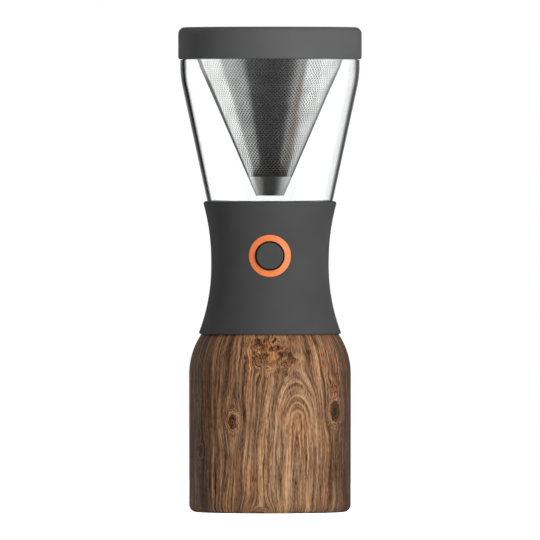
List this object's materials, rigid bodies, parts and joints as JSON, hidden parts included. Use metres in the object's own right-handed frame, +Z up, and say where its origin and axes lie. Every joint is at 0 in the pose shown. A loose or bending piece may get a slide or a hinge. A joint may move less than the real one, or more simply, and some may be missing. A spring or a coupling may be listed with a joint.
{
  "type": "cold brew coffee tower",
  "caption": "Waisted coffee tower: clear tapered brewing chamber with a perforated cone filter and lid, on a collar whose push button drains it into an insulated carafe.",
  "frame": {"origin": "middle of the rim that the carafe stands on", "axes": "+Z up along the axis of the tower, the button faces -Y, +X to the right seen from the front"},
  "size_m": [0.1248, 0.1248, 0.3297],
  "materials": {
    "wood_print": "satin wood-grain print on steel",
    "liner_steel": "fine satin",
    "base_steel": "satin",
    "getter_metal": "plain",
    "collar_plastic": "soft-touch",
    "deck_steel": "polished",
    "clear_plastic": "clear, polished",
    "seal_silicone": "matt silicone",
    "valve_plastic": "moulded",
    "accent_plastic": "satin orange",
    "button_plastic": "soft-touch",
    "spring_steel": "bright wire",
    "filter_steel": "polished",
    "lid_plastic": "soft-touch"
  },
  "bodies": {
    "carafe": {"carafe_outer_shell": "wood_print", "carafe_inner_liner": "liner_steel", "carafe_base_plate": "base_steel", "getter_capsule": "getter_metal"},
    "brewer": {"collar_shell": "collar_plastic", "collar_deck": "deck_steel", "brew_chamber": "clear_plastic", "chamber_gasket": "seal_silicone", "neck_seal": "seal_silicone", "valve_housing": "valve_plastic", "port_cap": "valve_plastic", "port_seal": "seal_silicone", "valve_seat": "valve_plastic", "carafe_adapter": "valve_plastic", "carafe_gasket": "seal_silicone", "spout_nut": "valve_plastic", "accent_ring": "accent_plastic", "button_spring": "spring_steel", "valve_spring": "spring_steel"},
    "button": {"button_cap": "button_plastic", "push_rod": "valve_plastic"},
    "valve": {"valve_stem": "valve_plastic", "valve_seal": "seal_silicone", "valve_follower": "valve_plastic"},
    "filter": {"filter_rim": "filter_steel", "filter_cone": "filter_steel", "filter_tip": "filter_steel"},
    "lid": {"lid_cap": "lid_plastic", "lid_seal": "seal_silicone"}
  },
  "joints": [
    {"name": "brewer_lift", "type": "slide", "parent": "carafe", "child": "brewer", "axis": [0, 0, 1], "range_m": [0, 0.05]},
    {"name": "filter_lift", "type": "slide", "parent": "brewer", "child": "filter", "axis": [0, 0, 1], "range_m": [0, 0.13]},
    {"name": "lid_lift", "type": "slide", "parent": "filter", "child": "lid", "axis": [0, 0, 1], "range_m": [0, 0.04]},
    {"name": "button_push", "type": "slide", "parent": "brewer", "child": "button", "axis": [0, 1, 0], "range_m": [0, 0.0035], "stiffness_N_per_m": 400, "springref_m": -0.004, "deforming": ["button_spring"]},
    {"name": "valve_lift", "type": "slide", "parent": "brewer", "child": "valve", "axis": [0, 0, 1], "range_m": [0, 0.0035], "stiffness_N_per_m": 300, "springref_m": -0.003, "deforming": ["valve_spring"]}
  ],
  "couplings": [
    {"joint": "valve_lift", "follows": "button_push", "ratio": 1}
  ]
}
